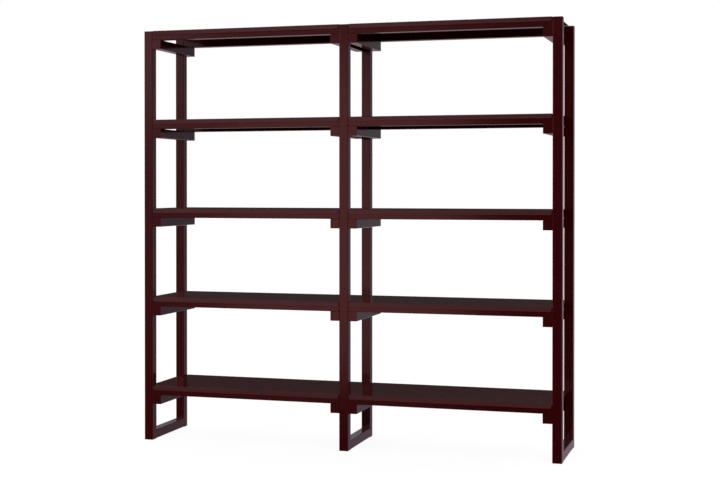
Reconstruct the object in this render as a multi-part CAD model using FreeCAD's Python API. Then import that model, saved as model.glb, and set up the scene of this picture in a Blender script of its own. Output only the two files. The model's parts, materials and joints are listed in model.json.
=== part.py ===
import FreeCAD, Part
import os

# Two-bay open bookcase of square steel tube, in millimetres.
# X runs along the bays, Y from front to rear, Z up.
# The origin is on the floor, under the middle of the bookcase.

# Side frames
tube_side = 40.0
tube_wall = 2.0
tube_corner = 2.5
bay_clear = 865.0
frame_depth = 380.0

# Levels: each is the top of its rails, and the top one ends flush with the posts
bay_count = 2
level_count = 5
first_level = 240.0
level_pitch = 393.0

# Shelf rails, front and rear
rail_height = 40.0
rail_depth = 40.0
rail_wall = 1.5
rail_edge = 1.2
rail_fit = 0.3
end_cap_length = 9.0
end_cap_corner = 8.0
end_cap_spigot = 12.0
end_cap_clear = 0.2

# Shelf sheet, folded over the rails
sheet = 1.2
lip_height = 19.5
lip_flare = 2.7
lip_corner = 8.0
lip_clear = 3.2
sheet_bend = 2.4
notch_clear = 3.0
seam = 2.4
ear_corner = 3.0

# Support bars, welded to the posts' inner sides
bar_width = 39.0
bar_height = 40.0
bar_wall = 2.0
bar_edge = 1.2

# Post caps and floor glides
cap_plate = 2.0
cap_spigot = 10.0
cap_wall = 1.5
cap_clear = 0.2
glide_rim = 1.0
glide_inset = 1.0
glide_spigot = 14.0
glide_wall = 2.0
glide_rib = 1.6

# Cuts run past the material by this much
overrun = 5.0

V = FreeCAD.Vector
X_AXIS = V(1, 0, 0)
Y_AXIS = V(0, 1, 0)
Z_AXIS = V(0, 0, 1)

# Places worked out from the sizes above
frame_pitch = bay_clear + tube_side
post_top = first_level + (level_count - 1) * level_pitch
front_y = -frame_depth / 2
rear_y = frame_depth / 2
frame_names = ["left", "centre", "right"]
bay_names = ["left", "right"]


def frame_x(index):
    """X of a side frame's middle plane, counted from the left."""
    return (index - bay_count / 2) * frame_pitch


def rail_top(level):
    """Top of the rails at a level, counted from the floor up."""
    return first_level + (level - 1) * level_pitch


def rounded_face(width, height, radius):
    """A rectangle with rounded corners, centred in the XY plane."""
    x = width / 2
    y = height / 2
    turn = radius * (1 - 0.5 ** 0.5)
    edges = []
    ends = []
    for sx, sy in ((1, 1), (-1, 1), (-1, -1), (1, -1)):
        on_side = V(sx * x, sy * (y - radius), 0)
        on_top = V(sx * (x - radius), sy * y, 0)
        middle = V(sx * (x - turn), sy * (y - turn), 0)
        first, last = (on_side, on_top) if sx == sy else (on_top, on_side)
        ends.append((first, last))
        edges.append(Part.Arc(first, middle, last).toShape())
    for i in range(len(ends)):
        edges.append(Part.makeLine(ends[i][1], ends[(i + 1) % len(ends)][0]))
    return Part.Face(Part.Wire(Part.__sortEdges__(edges)))


def eased_face(width, height, edge):
    """A rectangle with its corners cut off at a slant, centred in the XY plane."""
    x = width / 2
    y = height / 2
    points = []
    for sx, sy in ((1, 1), (-1, 1), (-1, -1), (1, -1)):
        on_side = V(sx * x, sy * (y - edge), 0)
        on_top = V(sx * (x - edge), sy * y, 0)
        points.extend([on_side, on_top] if sx == sy else [on_top, on_side])
    points.append(points[0])
    return Part.Face(Part.makePolygon(points))


def rounded_bar(width, height, radius, length):
    return rounded_face(width, height, radius).extrude(Z_AXIS * length)


def eased_bar(width, height, edge, length):
    return eased_face(width, height, edge).extrude(Z_AXIS * length)


def block(width, height, length):
    """A plain square block standing on the XY plane."""
    return Part.makeBox(width, height, length, V(-width / 2, -height / 2, 0))


def bored(bar, width, height, wall, length):
    """Take the inside out of a bar, right through from end to end."""
    bore = block(width - 2 * wall, height - 2 * wall, length + 2 * overrun)
    bore.translate(-Z_AXIS * overrun)
    return bar.cut(bore)


def laid_along_x(shape):
    """Turn a piece that stands on the XY plane so that it runs along +X."""
    turned = shape.copy()
    turned.rotate(V(0, 0, 0), Y_AXIS, 90)
    return turned


def laid_along_y(shape):
    """Turn a piece that stands on the XY plane so that it runs along +Y."""
    turned = shape.copy()
    turned.rotate(V(0, 0, 0), X_AXIS, -90)
    return turned


def placed(shape, x, y, z):
    copy = shape.copy()
    copy.translate(V(x, y, z))
    return copy


# Side frame: a post at the front, a post at the rear and a foot rail welded between them
def make_frame_tube(length):
    bar = rounded_bar(tube_side, tube_side, tube_corner, length)
    return bored(bar, tube_side, tube_side, tube_wall, length)


def make_post():
    return make_frame_tube(post_top - glide_rim)


def make_foot_rail():
    return laid_along_y(make_frame_tube(frame_depth - 2 * tube_side))


# Cap that closes a post's top, flush with the tube's end
def make_post_cap():
    inner = tube_side - 2 * tube_wall - 2 * cap_clear
    length = cap_plate + cap_spigot
    cap = block(inner, inner, length)
    cap.translate(-Z_AXIS * length)
    hollow = block(inner - 2 * cap_wall, inner - 2 * cap_wall, cap_spigot + overrun)
    hollow.translate(-Z_AXIS * (length + overrun))
    return cap.cut(hollow)


# Glide under a post: a thin rim on the floor and a ribbed spigot inside the tube
def make_glide():
    side = tube_side - 2 * glide_inset
    inner = tube_side - 2 * tube_wall - 2 * cap_clear
    rim = block(side, side, glide_rim)
    spigot = bored(block(inner, inner, glide_spigot), inner, inner, glide_wall, glide_spigot)
    rib = block(inner - glide_wall, glide_rib, glide_spigot)
    cross_rib = block(glide_rib, inner - glide_wall, glide_spigot)
    inside = spigot.multiFuse([rib, cross_rib])
    inside.translate(Z_AXIS * glide_rim)
    return rim.fuse(inside).removeSplitter()


# Shelf rail: a square tube between two end caps, which fit between the posts
rail_length = bay_clear - 2 * (rail_fit + end_cap_length)


def make_rail():
    bar = eased_bar(rail_height, rail_depth, rail_edge, rail_length)
    return laid_along_x(bored(bar, rail_height, rail_depth, rail_wall, rail_length))


# End cap: its lower outer edge is rounded, and its spigot fits inside the rail.
# It lies with its outer face at X 0 and its spigot towards +X.
def make_end_cap():
    low = -rail_height / 2
    turn = end_cap_corner * (1 - 0.5 ** 0.5)

    def at(x, z):
        return V(x, -rail_depth / 2, z)

    corner = Part.Arc(at(0, low + end_cap_corner), at(turn, low + turn), at(end_cap_corner, low)).toShape()
    points = [at(end_cap_corner, low), at(end_cap_length, low), at(end_cap_length, -low)]
    points = points + [at(0, -low), at(0, low + end_cap_corner)]
    outline = [Part.makeLine(points[i], points[i + 1]) for i in range(len(points) - 1)]
    body = Part.Face(Part.Wire(Part.__sortEdges__(outline + [corner]))).extrude(Y_AXIS * rail_depth)
    inner_height = rail_height - 2 * rail_wall - 2 * end_cap_clear
    inner_depth = rail_depth - 2 * rail_wall - 2 * end_cap_clear
    spigot = laid_along_x(block(inner_height, inner_depth, end_cap_spigot))
    spigot.translate(X_AXIS * end_cap_length)
    return body.fuse(spigot)


# Shelf sheet: one folded sheet with a lip down the front and the rear rail,
# and an ear at each end that fills its half of the space between the two posts
def make_sheet():
    length = bay_clear - 2 * lip_clear
    half = frame_depth / 2 + sheet
    inner_half = frame_depth / 2
    low = sheet - lip_height
    inner_bend = sheet_bend - sheet

    def at(y, z):
        return V(-length / 2, y, z)

    top_line = Part.makeLine(at(-half + sheet_bend, sheet), at(half - sheet_bend, sheet))
    under_line = Part.makeLine(at(-inner_half + inner_bend, 0), at(inner_half - inner_bend, 0))
    edges = [top_line, under_line]
    for side in (-1, 1):
        # The lip leans out a little on its way down
        outward = V(0, side * (lip_height - sheet_bend), lip_flare).normalize()
        halfway = (Z_AXIS + outward).normalize()
        bend = at(side * (half - sheet_bend), sheet - sheet_bend)
        outer_start = bend + Z_AXIS * sheet_bend
        outer_middle = bend + halfway * sheet_bend
        outer_end = bend + outward * sheet_bend
        inner_start = bend + Z_AXIS * inner_bend
        inner_middle = bend + halfway * inner_bend
        inner_end = bend + outward * inner_bend
        outer_low = at(outer_end.y + (outer_end.z - low) * outward.z / outward.y, low)
        inner_low = at(outer_low.y - sheet / outward.y, low)
        edges.append(Part.Arc(outer_start, outer_middle, outer_end).toShape())
        edges.append(Part.makeLine(outer_end, outer_low))
        edges.append(Part.makeLine(outer_low, inner_low))
        edges.append(Part.makeLine(inner_low, inner_end))
        edges.append(Part.Arc(inner_start, inner_middle, inner_end).toShape())
    section = Part.Face(Part.Wire(Part.__sortEdges__(edges)))
    folded = section.extrude(X_AXIS * length)

    # The lower corners of both lips are rounded
    tall = 2 * (overrun - low)
    mask = laid_along_y(rounded_bar(length, tall, lip_corner, frame_depth + 2 * sheet + 2 * overrun))
    mask.translate(V(0, -half - overrun, tall / 2 + low))
    folded = folded.common(mask)

    ear_length = bay_clear + tube_side - seam
    ear_depth = frame_depth - 2 * tube_side - 2 * notch_clear
    ears = eased_bar(ear_length, ear_depth, ear_corner, sheet)
    return folded.fuse(ears).removeSplitter()


# Support bar: a box bar with closed ends that runs from front to rear against a pair of posts
def make_bar():
    bar = eased_bar(bar_width, bar_height, bar_edge, frame_depth)
    hollow = block(bar_width - 2 * bar_wall, bar_height - 2 * bar_wall, frame_depth - 2 * bar_wall)
    hollow.translate(Z_AXIS * bar_wall)
    return laid_along_y(bar.cut(hollow))


nodes = {}

# Side frames, caps and glides
caps = []
glides = []
for frame, name in enumerate(frame_names):
    x = frame_x(frame)
    post_ys = {"front": front_y + tube_side / 2, "rear": rear_y - tube_side / 2}
    for place, y in post_ys.items():
        nodes[name + "_" + place + "_post"] = placed(make_post(), x, y, glide_rim)
        caps.append(placed(make_post_cap(), x, y, post_top))
        glides.append(placed(make_glide(), x, y, 0))
    foot = placed(make_foot_rail(), x, front_y + tube_side, glide_rim + tube_side / 2)
    nodes[name + "_foot_rail"] = foot
nodes["post_caps"] = Part.makeCompound(caps)
nodes["floor_glides"] = Part.makeCompound(glides)

# Shelves: two rails and a folded sheet at each level of each bay
end_caps = []
for bay, name in enumerate(bay_names):
    middle = (frame_x(bay) + frame_x(bay + 1)) / 2
    for level in range(1, level_count + 1):
        top = rail_top(level)
        rail_ys = {"front": front_y + rail_depth / 2, "rear": rear_y - rail_depth / 2}
        for place, y in rail_ys.items():
            start = middle - rail_length / 2
            rail = placed(make_rail(), start, y, top - rail_height / 2)
            nodes["%s_%s_rail_%d" % (name, place, level)] = rail
            left_cap = placed(make_end_cap(), start - end_cap_length, y, top - rail_height / 2)
            end_caps.append(left_cap)
            end_caps.append(left_cap.mirror(V(middle, 0, 0), X_AXIS))
        nodes["%s_shelf_sheet_%d" % (name, level)] = placed(make_sheet(), middle, 0, top)
nodes["rail_end_caps"] = Part.makeCompound(end_caps)

# Support bars: on the inner side of the outer frames and on both sides of the centre frame
for frame, name in enumerate(frame_names):
    x = frame_x(frame)
    sides = []
    if frame > 0:
        sides.append(-1)
    if frame < bay_count:
        sides.append(1)
    for level in range(1, level_count + 1):
        z = rail_top(level) - rail_height - bar_height / 2
        bars = []
        for side in sides:
            bar_x = x + side * (tube_side / 2 + bar_width / 2)
            bars.append(placed(make_bar(), bar_x, front_y, z))
        if len(bars) > 1:
            nodes["%s_support_bars_%d" % (name, level)] = Part.makeCompound(bars)
        else:
            nodes["%s_support_bar_%d" % (name, level)] = bars[0]

os.makedirs("parts", exist_ok=True)
for name, shape in nodes.items():
    shape.exportStep("parts/" + name + ".step")
print(len(nodes), "nodes")
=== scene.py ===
import bpy
import json
import math
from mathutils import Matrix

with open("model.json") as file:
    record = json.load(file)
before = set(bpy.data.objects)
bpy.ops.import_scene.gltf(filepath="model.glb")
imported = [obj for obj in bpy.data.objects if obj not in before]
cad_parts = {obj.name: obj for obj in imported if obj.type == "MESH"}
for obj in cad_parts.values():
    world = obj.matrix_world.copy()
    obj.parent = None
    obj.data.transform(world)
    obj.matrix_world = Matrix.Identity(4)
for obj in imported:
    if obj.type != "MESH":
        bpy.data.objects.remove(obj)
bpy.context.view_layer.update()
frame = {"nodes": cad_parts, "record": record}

scene = bpy.context.scene
nodes = frame["nodes"]
slotOf = {row["node"]: row["material_slot"] for row in frame["record"]["subparts"]}
print("frame loaded:", len(nodes), "nodes")


# where the photographer stood: right of the middle, a little over a metre up
camera = {
    "place": (1.6992, -5.7313, 1.1223),
    "tiltDown": 0.0082,
    "turnLeft": 0.2978,
    "sensor": 36.0,
    "lens": 68.326,
    "shiftX": 0.0233,
    "shiftY": -0.0581,
    "farthest": 200.0,
}
cameraData = bpy.data.cameras.new("photoCamera")
cameraData.sensor_width = camera["sensor"]
cameraData.lens = camera["lens"]
cameraData.shift_x = camera["shiftX"]
cameraData.shift_y = camera["shiftY"]
cameraData.clip_end = camera["farthest"]
cameraObject = bpy.data.objects.new("photoCamera", cameraData)
cameraObject.location = camera["place"]
cameraObject.rotation_euler = (math.pi / 2 - camera["tiltDown"], 0.0, camera["turnLeft"])
scene.collection.objects.link(cameraObject)
scene.camera = cameraObject
scene.view_settings.view_transform = "Standard"
print("camera placed")


# helpers for the node trees
def addNode(tree, kind, x, y, **settings):
    node = tree.nodes.new(kind)
    node.location = (x, y)
    for name, value in settings.items():
        setattr(node, name, value)
    return node


def feed(tree, source, node, socket):
    # a number or colour is set on the socket, anything else is linked to it
    if isinstance(source, (int, float, tuple)):
        node.inputs[socket].default_value = source
    else:
        tree.links.new(source, node.inputs[socket])


def mathNode(tree, operation, x, y, *values):
    node = addNode(tree, "ShaderNodeMath", x, y, operation=operation)
    for i, value in enumerate(values):
        feed(tree, value, node, i)
    return node.outputs[0]


def ramp(tree, value, span, x, y, ends=(0.0, 1.0), soft=True):
    # the value's span from low to high becomes the two ends
    node = addNode(tree, "ShaderNodeMapRange", x, y, interpolation_type="SMOOTHSTEP" if soft else "LINEAR")
    feed(tree, value, node, "Value")
    feed(tree, span[0], node, "From Min")
    feed(tree, span[1], node, "From Max")
    feed(tree, ends[0], node, "To Min")
    feed(tree, ends[1], node, "To Max")
    return node.outputs["Result"]


def mixColours(tree, share, first, second, x, y, blend="MIX"):
    # a Mix node's colours are its sockets 6 and 7, and its mixed colour is output 2
    node = addNode(tree, "ShaderNodeMix", x, y, data_type="RGBA", blend_type=blend)
    feed(tree, share, node, "Factor")
    feed(tree, first, node, 6)
    feed(tree, second, node, 7)
    return node.outputs[2]


def mixShaders(tree, share, first, second, x, y):
    node = addNode(tree, "ShaderNodeMixShader", x, y)
    for i, source in enumerate((share, first, second)):
        feed(tree, source, node, i)
    return node.outputs[0]


def solid(colour):
    return tuple(colour) + (1.0,)


# studio: the camera sees plain white all round, soft boxes light the surfaces evenly,
# and the coat mirrors the panels. Sides and heights are directions in degrees: front counts
# from straight ahead of the bookcase to its left, rear from straight behind to its right.
studio = {
    "white": (1.0, 1.0, 1.0),
    "dark": (0.027, 0.026, 0.028),
    "shade": (0.06, 0.06, 0.06),
    "boxes": [
        {"facing": "front", "sides": (-110.0, 95.0), "sideSoft": 12.0, "heights": (-10.0, 60.0), "heightSoft": 8.0,
         "glow": (0.64, 0.66, 0.67)},
        {"facing": "rear", "sides": (-85.0, 70.0), "sideSoft": 12.0, "heights": (-30.0, 60.0), "heightSoft": 8.0,
         "glow": (0.80, 0.80, 0.81)},
    ],
    "panels": [
        # the window-like panel ahead and to the left
        {"facing": "front", "sides": (11.9, 22.0), "sideSoft": 0.8, "heights": (-7.8, 5.93), "heightSoft": 0.5,
         "glow": (0.711, 0.604, 0.594)},
        # farther left, brighter towards the top
        {"facing": "front", "sides": (22.0, 70.0), "sideSoft": 1.5, "heights": (-5.0, 8.5), "heightSoft": 5.0,
         "topSoft": 1.0, "glow": (0.127, 0.194, 0.198)},
        {"facing": "front", "sides": (22.0, 70.0), "sideSoft": 1.5, "heights": (-60.0, 3.0), "heightSoft": 4.0,
         "glow": (0.090, 0.021, 0.022)},
        {"facing": "front", "sides": (23.5, 70.0), "sideSoft": 1.5, "heights": (3.0, 7.2), "heightSoft": 2.5,
         "topSoft": 0.8, "glow": (0.60, 0.63, 0.66)},
        # above these, a wide panel and a small one
        {"facing": "front", "sides": (-60.0, 60.0), "sideSoft": 10.0, "heights": (8.0, 75.0), "heightSoft": 0.5,
         "glow": (0.39, 0.45, 0.47)},
        {"facing": "front", "sides": (13.5, 27.0), "sideSoft": 4.0, "heights": (9.5, 26.0), "heightSoft": 4.0,
         "glow": (0.25, 0.26, 0.28)},
        # far round to the left, mirrored mainly by the rounded corners
        {"facing": "front", "sides": (38.0, 125.0), "sideSoft": 6.0, "heights": (1.0, 60.0), "heightSoft": 9.0,
         "glow": (1.25, 1.30, 1.35)},
        # straight behind, for the views from the back
        {"facing": "rear", "sides": (-5.0, 3.5), "sideSoft": 1.5, "heights": (-30.0, 40.0), "heightSoft": 6.0,
         "glow": (0.90, 0.90, 0.92)},
        # behind and to the right, brighter below
        {"facing": "rear", "sides": (4.0, 11.5), "sideSoft": 2.0, "heights": (-60.0, 7.2), "heightSoft": 4.0,
         "topSoft": 1.2, "glow": (0.234, 0.181, 0.215)},
        {"facing": "rear", "sides": (11.5, 70.0), "sideSoft": 2.0, "heights": (-60.0, 7.2), "heightSoft": 4.0,
         "topSoft": 1.2, "glow": (0.166, 0.163, 0.192)},
        {"facing": "rear", "sides": (40.0, 150.0), "sideSoft": 8.0, "heights": (-60.0, 60.0), "heightSoft": 6.0,
         "glow": (0.30, 0.30, 0.30)},
        {"facing": "rear", "sides": (4.0, 70.0), "sideSoft": 2.0, "heights": (-60.0, 0.0), "heightSoft": 8.0,
         "glow": (0.059, 0.043, 0.050)},
        # behind and to the left, the lit floor and the wall above it
        {"facing": "rear", "sides": (-70.0, 2.0), "sideSoft": 4.0, "heights": (-60.0, -2.0), "heightSoft": 0.8,
         "glow": (0.288, 0.214, 0.246)},
        {"facing": "rear", "sides": (-70.0, 2.0), "sideSoft": 4.0, "heights": (9.5, 20.0), "heightSoft": 0.1,
         "topSoft": 8.0, "glow": (0.36, 0.36, 0.43)},
        # a faint glow between the two, for the tops of the two lowest shelves
        {"facing": "rear", "sides": (-70.0, 2.0), "sideSoft": 4.0, "heights": (2.0, 9.2), "heightSoft": 1.0,
         "topSoft": 0.3, "glow": (0.009, 0.0065, 0.007)},
        # high up behind
        {"facing": "rear", "sides": (-80.0, 80.0), "sideSoft": 20.0, "heights": (20.0, 80.0), "heightSoft": 8.0,
         "glow": (0.30, 0.28, 0.29)},
    ],
}


def softBand(tree, angle, limits, lowSoft, highSoft, x, y):
    # 1 between the two limits, with a soft start and a soft end
    start = ramp(tree, angle, (limits[0] - lowSoft, limits[0] + lowSoft), x, y)
    end = ramp(tree, angle, (limits[1] - highSoft, limits[1] + highSoft), x, y - 60, (1.0, 0.0))
    return mathNode(tree, "MULTIPLY", x + 200, y, start, end)


def buildStudioWorld():
    world = bpy.data.worlds.new("softStudio")
    world.use_nodes = True
    scene.world = world
    tree = world.node_tree
    tree.nodes.clear()
    parts = addNode(tree, "ShaderNodeSeparateXYZ", -1600, 0)
    tree.links.new(addNode(tree, "ShaderNodeTexCoord", -1800, 0).outputs["Generated"], parts.inputs[0])
    x, y, z = parts.outputs

    def inDegrees(angle, nodeY):
        return mathNode(tree, "MULTIPLY", -1000, nodeY, angle, 180.0 / math.pi)

    minusX = mathNode(tree, "MULTIPLY", -1400, 0, x, -1.0)
    minusY = mathNode(tree, "MULTIPLY", -1400, -100, y, -1.0)
    height = inDegrees(mathNode(tree, "ARCSINE", -1200, 200, z), 200)
    turns = {
        "front": inDegrees(mathNode(tree, "ARCTAN2", -1200, -50, minusX, minusY), -50),
        "rear": inDegrees(mathNode(tree, "ARCTAN2", -1200, -200, x, y), -200),
    }

    def addPanels(start, panels, top):
        total = solid(start)
        for i, panel in enumerate(panels):
            nodeY = top - 300 * i
            sideSoft, heightSoft = panel["sideSoft"], panel["heightSoft"]
            across = softBand(tree, turns[panel["facing"]], panel["sides"], sideSoft, sideSoft, -800, nodeY)
            upright = softBand(tree, height, panel["heights"], heightSoft, panel.get("topSoft", heightSoft),
                               -800, nodeY - 120)
            mask = mathNode(tree, "MULTIPLY", -400, nodeY, across, upright)
            total = mixColours(tree, mask, total, solid(panel["glow"]), -200, nodeY, "ADD")
        return total

    def background(colour, nodeY):
        node = addNode(tree, "ShaderNodeBackground", 100, nodeY)
        feed(tree, colour, node, "Color")
        return node.outputs[0]

    mirrored = background(addPanels(studio["dark"], studio["panels"], 0), 0)
    even = background(addPanels(studio["shade"], studio["boxes"], 1200), 150)
    white = background(solid(studio["white"]), 300)
    ray = addNode(tree, "ShaderNodeLightPath", 0, 500).outputs
    onThings = mixShaders(tree, ray["Is Glossy Ray"], even, mirrored, 300, 100)
    surroundings = mixShaders(tree, ray["Is Camera Ray"], onThings, white, 500, 200)
    output = addNode(tree, "ShaderNodeOutputWorld", 700, 200)
    tree.links.new(surroundings, output.inputs["Surface"])


# for the camera, the floor's glow and its lit paint add up to about white, so shadows stay faint
floor = {"side": 80.0, "glow": 0.92, "paint": (0.20, 0.20, 0.20)}


def buildFloor():
    bpy.ops.object.select_all(action="DESELECT")
    bpy.ops.mesh.primitive_plane_add(size=floor["side"], location=(0.0, 0.0, 0.0))
    plane = bpy.context.object
    plane.name = "studioFloor"
    plane.visible_glossy = False  # the coat mirrors the panels below the horizon instead
    paper = bpy.data.materials.new("paleFloor")
    paper.use_nodes = True
    tree = paper.node_tree
    tree.nodes.clear()
    matt = addNode(tree, "ShaderNodeBsdfDiffuse", 0, 0)
    matt.inputs["Color"].default_value = solid(floor["paint"])
    seen = addNode(tree, "ShaderNodeLightPath", -400, -150).outputs["Is Camera Ray"]
    glow = addNode(tree, "ShaderNodeEmission", 0, -150)
    tree.links.new(mathNode(tree, "MULTIPLY", -200, -150, seen, floor["glow"]), glow.inputs["Strength"])
    both = addNode(tree, "ShaderNodeAddShader", 200, 0)
    tree.links.new(matt.outputs[0], both.inputs[0])
    tree.links.new(glow.outputs[0], both.inputs[1])
    output = addNode(tree, "ShaderNodeOutputMaterial", 400, 0)
    tree.links.new(both.outputs[0], output.inputs["Surface"])
    plane.data.materials.append(paper)


buildStudioWorld()
buildFloor()
print("studio built")


# dark red powder coat on the steel; lengths are in metres, and sizes are noise scales
coat = {
    "colour": (0.104, 0.0027, 0.0042),
    "darker": (0.094, 0.0023, 0.0037),
    "metal": 0.30,
    "gloss": 0.11,
    "glossSpread": 0.01,
    "noiseSpan": (0.3, 0.7),
    "cloudSize": 6.0,
    "cloudDetail": 3.0,
    "hazeSize": 38.0,
    "hazeDetail": 4.0,
    "edgeRound": 0.0011,
    "edgeSamples": 4,
    "edgeSpan": (0.78, 0.99),
    "scuffSize": 55.0,
    "scuffDetail": 5.0,
    "scuffSpan": (0.45, 0.75),
    "worn": (0.13, 0.022, 0.024),
    "wornShare": 0.5,
    "wornRougher": 0.25,
    "peelSize": 420.0,
    "peelDetail": 2.0,
    "peelStrength": 0.06,
    "peelHeight": 0.0004,
}

# each finish has its own seed; the sheets' and caps' edges are tighter, and the sheets smoother
coatOn = {
    "frame_tube": {"name": "coatOnFrames", "seed": 1.7},
    "rail_tube": {"name": "coatOnRails", "seed": 4.3},
    "shelf_sheet": {"name": "coatOnSheets", "seed": 7.9, "edgeRound": 0.0006, "rougher": -0.067, "peelShare": 0.12},
    "bar_tube": {"name": "coatOnBars", "seed": 11.2},
    "cap_plate": {"name": "coatOnCaps", "seed": 14.6, "edgeRound": 0.0006},
}


def makeCoat(name, seed, edgeRound=coat["edgeRound"], rougher=0.0, peelShare=1.0):
    material = bpy.data.materials.new(name)
    material.use_nodes = True
    tree = material.node_tree
    shader = tree.nodes["Principled BSDF"]
    shader.location = (600, 0)
    place = addNode(tree, "ShaderNodeTexCoord", -1200, 0).outputs["Object"]

    def noise(size, detail, y):
        node = addNode(tree, "ShaderNodeTexNoise", -900, y, noise_dimensions="4D")
        tree.links.new(place, node.inputs["Vector"])
        node.inputs["W"].default_value = seed
        node.inputs["Scale"].default_value = size
        node.inputs["Detail"].default_value = detail
        return node.outputs["Fac"]

    # slow cloudiness in the colour, and a finer one in the gloss
    clouds = ramp(tree, noise(coat["cloudSize"], coat["cloudDetail"], 300), coat["noiseSpan"], -600, 300)
    tone = mixColours(tree, clouds, solid(coat["colour"]), solid(coat["darker"]), -300, 300)
    even = coat["gloss"] + rougher
    gloss = ramp(tree, noise(coat["hazeSize"], coat["hazeDetail"], 60), coat["noiseSpan"], -600, 60,
                 (even - coat["glossSpread"], even + coat["glossSpread"]), soft=False)

    # edges: softened, and scuffed a little lighter in places
    rounding = addNode(tree, "ShaderNodeBevel", -900, -300, samples=coat["edgeSamples"])
    rounding.inputs["Radius"].default_value = edgeRound
    flat = addNode(tree, "ShaderNodeNewGeometry", -900, -450).outputs["Normal"]
    agree = addNode(tree, "ShaderNodeVectorMath", -600, -380, operation="DOT_PRODUCT")
    tree.links.new(rounding.outputs[0], agree.inputs[0])
    tree.links.new(flat, agree.inputs[1])
    onEdge = ramp(tree, agree.outputs["Value"], coat["edgeSpan"], -400, -380, (1.0, 0.0))
    scuffs = ramp(tree, noise(coat["scuffSize"], coat["scuffDetail"], -120), coat["scuffSpan"], -600, -120)
    wear = mathNode(tree, "MULTIPLY", -200, -200, onEdge, scuffs)
    wear = mathNode(tree, "MULTIPLY", -50, -200, wear, coat["wornShare"])
    colour = mixColours(tree, wear, tone, solid(coat["worn"]), 200, 200)
    rough = mathNode(tree, "MULTIPLY_ADD", 200, 0, wear, coat["wornRougher"], gloss)

    # orange peel
    peel = addNode(tree, "ShaderNodeBump", 300, -300)
    peel.inputs["Strength"].default_value = coat["peelStrength"] * peelShare
    peel.inputs["Distance"].default_value = coat["peelHeight"]
    tree.links.new(noise(coat["peelSize"], coat["peelDetail"], -600), peel.inputs["Height"])
    tree.links.new(rounding.outputs[0], peel.inputs["Normal"])

    tree.links.new(colour, shader.inputs["Base Color"])
    tree.links.new(rough, shader.inputs["Roughness"])
    tree.links.new(peel.outputs[0], shader.inputs["Normal"])
    shader.inputs["Metallic"].default_value = coat["metal"]
    return material


glide = {
    "colour": (0.012, 0.012, 0.013),
    "rough": 0.55,
    "roughSpread": 0.08,
    "grainSize": 900.0,
    "grainSpan": (0.3, 0.7),
    "grainStrength": 0.15,
    "grainHeight": 0.0003,
}


def makeGlidePlastic():
    material = bpy.data.materials.new("blackGlidePlastic")
    material.use_nodes = True
    tree = material.node_tree
    shader = tree.nodes["Principled BSDF"]
    place = addNode(tree, "ShaderNodeTexCoord", -900, 0).outputs["Object"]
    grain = addNode(tree, "ShaderNodeTexNoise", -700, 0)
    tree.links.new(place, grain.inputs["Vector"])
    grain.inputs["Scale"].default_value = glide["grainSize"]
    rough = ramp(tree, grain.outputs["Fac"], glide["grainSpan"], -400, 100,
                 (glide["rough"] - glide["roughSpread"], glide["rough"] + glide["roughSpread"]), soft=False)
    bump = addNode(tree, "ShaderNodeBump", -300, -200)
    bump.inputs["Strength"].default_value = glide["grainStrength"]
    bump.inputs["Distance"].default_value = glide["grainHeight"]
    tree.links.new(grain.outputs["Fac"], bump.inputs["Height"])
    tree.links.new(rough, shader.inputs["Roughness"])
    tree.links.new(bump.outputs[0], shader.inputs["Normal"])
    shader.inputs["Base Color"].default_value = solid(glide["colour"])
    return material


finishes = {slot: makeCoat(**settings) for slot, settings in coatOn.items()}
finishes["glide"] = makeGlidePlastic()
for name, node in nodes.items():
    node.data.materials.clear()
    node.data.materials.append(finishes[slotOf[name]])
print("finishes made:", len(finishes))
